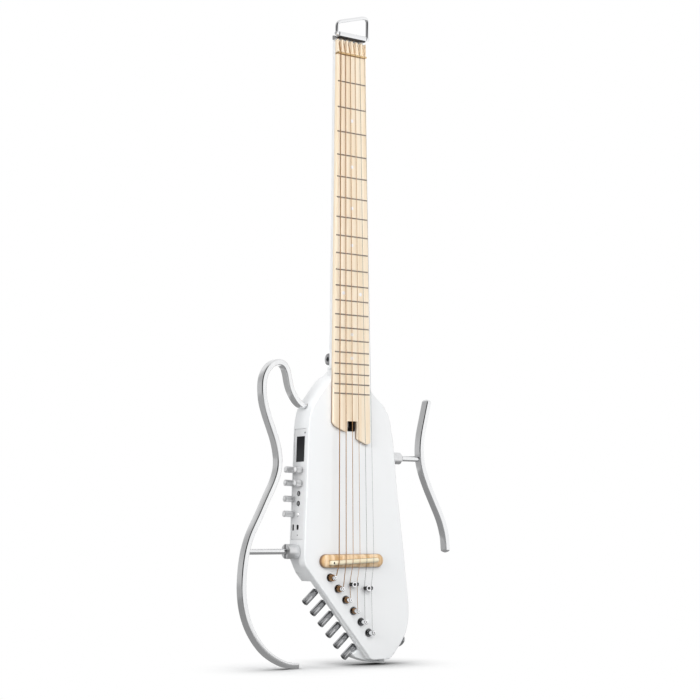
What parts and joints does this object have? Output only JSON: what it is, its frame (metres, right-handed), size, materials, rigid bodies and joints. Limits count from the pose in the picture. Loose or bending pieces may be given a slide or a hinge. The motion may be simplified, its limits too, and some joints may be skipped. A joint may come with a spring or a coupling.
{
  "type": "skeleton frame guitar",
  "caption": "Headless hollow-bodied guitar with a slanted tuner edge, a hanging bail, side controls and pull-off tubular side frames.",
  "frame": {"origin": "the hanging point, inside the top of the bail above the head", "axes": "+Z towards the head along the strings, -Y out of the soundboard towards the player's audience, +X the treble side"},
  "size_m": [0.3302, 0.0506, 0.8454],
  "materials": {
    "white_lacquer": "gloss white lacquer on wood",
    "white_plastic": "gloss white",
    "pale_maple": "pale satin maple",
    "amber_maple": "amber satin maple",
    "bone": "polished bone",
    "brass": "satin brass",
    "bronze": "wound bronze",
    "steel": "plain steel",
    "chrome": "polished chrome",
    "satin_silver": "satin silver",
    "dark_window": "dark gloss window",
    "panel_grey": "pale grey satin",
    "black": "black",
    "circuit_green": "green lacquer",
    "cell_blue": "blue wrap"
  },
  "bodies": {
    "instrument": {"neck": "white_lacquer", "fretboard": "pale_maple", "nut": "brass", "head_block": "pale_maple", "head_clamp": "chrome", "truss_rod": "steel", "body": "white_lacquer", "back_cover": "white_plastic", "bridge": "amber_maple", "saddle": "bone", "pickup": "black", "control_panel": "panel_grey", "display": "dark_window", "circuit_board": "circuit_green", "battery": "cell_blue", "status_light": "dark_window", "jack_1": "black", "jack_2": "black", "string_1": "bronze", "tuner_housing_1": "chrome", "string_2": "bronze", "tuner_housing_2": "chrome", "string_3": "bronze", "tuner_housing_3": "chrome", "string_4": "bronze", "tuner_housing_4": "chrome", "string_5": "steel", "tuner_housing_5": "chrome", "string_6": "steel", "tuner_housing_6": "chrome", "string_tree_1": "chrome", "string_tree_2": "chrome", "strap_button_1": "chrome", "strap_button_2": "chrome"},
    "bail": {"bail": "chrome"},
    "left_frame": {"left_frame": "satin_silver"},
    "left_collar": {"left_collar": "satin_silver"},
    "right_frame": {"right_frame": "satin_silver"},
    "right_collar": {"right_collar": "satin_silver"},
    "mode_button": {"mode_button": "panel_grey"},
    "tuner_post_1": {"tuner_post_1": "chrome"},
    "tuner_post_2": {"tuner_post_2": "chrome"},
    "tuner_post_3": {"tuner_post_3": "chrome"},
    "tuner_post_4": {"tuner_post_4": "chrome"},
    "tuner_post_5": {"tuner_post_5": "chrome"},
    "tuner_post_6": {"tuner_post_6": "chrome"},
    "tuner_button_1": {"tuner_button_1": "chrome"},
    "tuner_button_2": {"tuner_button_2": "chrome"},
    "tuner_button_3": {"tuner_button_3": "chrome"},
    "tuner_button_4": {"tuner_button_4": "chrome"},
    "tuner_button_5": {"tuner_button_5": "chrome"},
    "tuner_button_6": {"tuner_button_6": "chrome"},
    "knob_1": {"knob_1": "panel_grey"},
    "knob_2": {"knob_2": "panel_grey"},
    "knob_3": {"knob_3": "panel_grey"},
    "knob_4": {"knob_4": "panel_grey"},
    "knob_5": {"knob_5": "panel_grey"},
    "knob_6": {"knob_6": "panel_grey"}
  },
  "joints": [
    {"name": "bail_fold", "type": "hinge", "parent": "instrument", "child": "bail", "pos_m": [0, 0, -0.01935], "axis": [1, 0, 0], "range_deg": [-75, 75]},
    {"name": "left_frame_pull", "type": "slide", "parent": "instrument", "child": "left_frame", "axis": [-1, 0, 0], "range_m": [0, 0.03]},
    {"name": "right_frame_pull", "type": "slide", "parent": "instrument", "child": "right_frame", "axis": [1, 0, 0], "range_m": [0, 0.033]},
    {"name": "left_collar_turn", "type": "hinge", "parent": "instrument", "child": "left_collar", "pos_m": [-0.078, 0.02425, -0.68934], "axis": [-1, 0, 0], "range_deg": [0, 90]},
    {"name": "right_collar_turn", "type": "hinge", "parent": "instrument", "child": "right_collar", "pos_m": [0.085, 0.02425, -0.56885], "axis": [1, 0, 0], "range_deg": [0, 90]},
    {"name": "button_turn_1", "type": "hinge", "parent": "instrument", "child": "tuner_button_1", "pos_m": [-0.02133, 0.0282, -0.72532], "axis": [-0.7613, 0, -0.6484], "continuous": true},
    {"name": "button_turn_2", "type": "hinge", "parent": "instrument", "child": "tuner_button_2", "pos_m": [-0.00933, 0.0282, -0.73941], "axis": [-0.7613, 0, -0.6484], "continuous": true},
    {"name": "button_turn_3", "type": "hinge", "parent": "instrument", "child": "tuner_button_3", "pos_m": [0.00266, 0.0282, -0.75349], "axis": [-0.7613, 0, -0.6484], "continuous": true},
    {"name": "button_turn_4", "type": "hinge", "parent": "instrument", "child": "tuner_button_4", "pos_m": [0.01465, 0.0282, -0.76758], "axis": [-0.7613, 0, -0.6484], "continuous": true},
    {"name": "button_turn_5", "type": "hinge", "parent": "instrument", "child": "tuner_button_5", "pos_m": [0.02665, 0.0282, -0.78166], "axis": [-0.7613, 0, -0.6484], "continuous": true},
    {"name": "button_turn_6", "type": "hinge", "parent": "instrument", "child": "tuner_button_6", "pos_m": [0.03864, 0.0282, -0.79575], "axis": [-0.7613, 0, -0.6484], "continuous": true},
    {"name": "post_turn_1", "type": "hinge", "parent": "instrument", "child": "tuner_post_1", "pos_m": [-0.03045, -0.0056, -0.72232], "axis": [0, 1, 0], "continuous": true},
    {"name": "post_turn_2", "type": "hinge", "parent": "instrument", "child": "tuner_post_2", "pos_m": [-0.01846, -0.0056, -0.73641], "axis": [0, 1, 0], "continuous": true},
    {"name": "post_turn_3", "type": "hinge", "parent": "instrument", "child": "tuner_post_3", "pos_m": [-0.00646, -0.0056, -0.75049], "axis": [0, 1, 0], "continuous": true},
    {"name": "post_turn_4", "type": "hinge", "parent": "instrument", "child": "tuner_post_4", "pos_m": [0.00553, -0.0056, -0.76458], "axis": [0, 1, 0], "continuous": true},
    {"name": "post_turn_5", "type": "hinge", "parent": "instrument", "child": "tuner_post_5", "pos_m": [0.01752, -0.0056, -0.77866], "axis": [0, 1, 0], "continuous": true},
    {"name": "post_turn_6", "type": "hinge", "parent": "instrument", "child": "tuner_post_6", "pos_m": [0.02952, -0.0056, -0.79275], "axis": [0, 1, 0], "continuous": true},
    {"name": "knob_turn_1", "type": "hinge", "parent": "instrument", "child": "knob_1", "pos_m": [-0.06121, 0.035, -0.5874], "axis": [-0.9992, 0, 0.0409], "range_deg": [-150, 150]},
    {"name": "knob_turn_2", "type": "hinge", "parent": "instrument", "child": "knob_2", "pos_m": [-0.06189, 0.035, -0.60411], "axis": [-0.9992, 0, 0.0409], "range_deg": [-150, 150]},
    {"name": "knob_turn_3", "type": "hinge", "parent": "instrument", "child": "knob_3", "pos_m": [-0.06271, 0.035, -0.62411], "axis": [-0.9992, 0, 0.0409], "range_deg": [-150, 150]},
    {"name": "knob_turn_4", "type": "hinge", "parent": "instrument", "child": "knob_4", "pos_m": [-0.06348, 0.035, -0.643], "axis": [-0.9992, 0, 0.0409], "range_deg": [-150, 150]},
    {"name": "knob_turn_5", "type": "hinge", "parent": "instrument", "child": "knob_5", "pos_m": [-0.06122, 0.0195, -0.58761], "axis": [-0.9992, 0, 0.0409], "range_deg": [-150, 150]},
    {"name": "knob_turn_6", "type": "hinge", "parent": "instrument", "child": "knob_6", "pos_m": [-0.06191, 0.0195, -0.60451], "axis": [-0.9992, 0, 0.0409], "range_deg": [-150, 150]},
    {"name": "mode_press", "type": "slide", "parent": "instrument", "child": "mode_button", "axis": [0.9992, 0, -0.0409], "range_m": [0, 0.0008], "stiffness_N_per_m": 800}
  ],
  "couplings": [
    {"joint": "post_turn_1", "follows": "button_turn_1", "ratio": 0.055556},
    {"joint": "post_turn_2", "follows": "button_turn_2", "ratio": 0.055556},
    {"joint": "post_turn_3", "follows": "button_turn_3", "ratio": 0.055556},
    {"joint": "post_turn_4", "follows": "button_turn_4", "ratio": 0.055556},
    {"joint": "post_turn_5", "follows": "button_turn_5", "ratio": 0.055556},
    {"joint": "post_turn_6", "follows": "button_turn_6", "ratio": 0.055556}
  ]
}
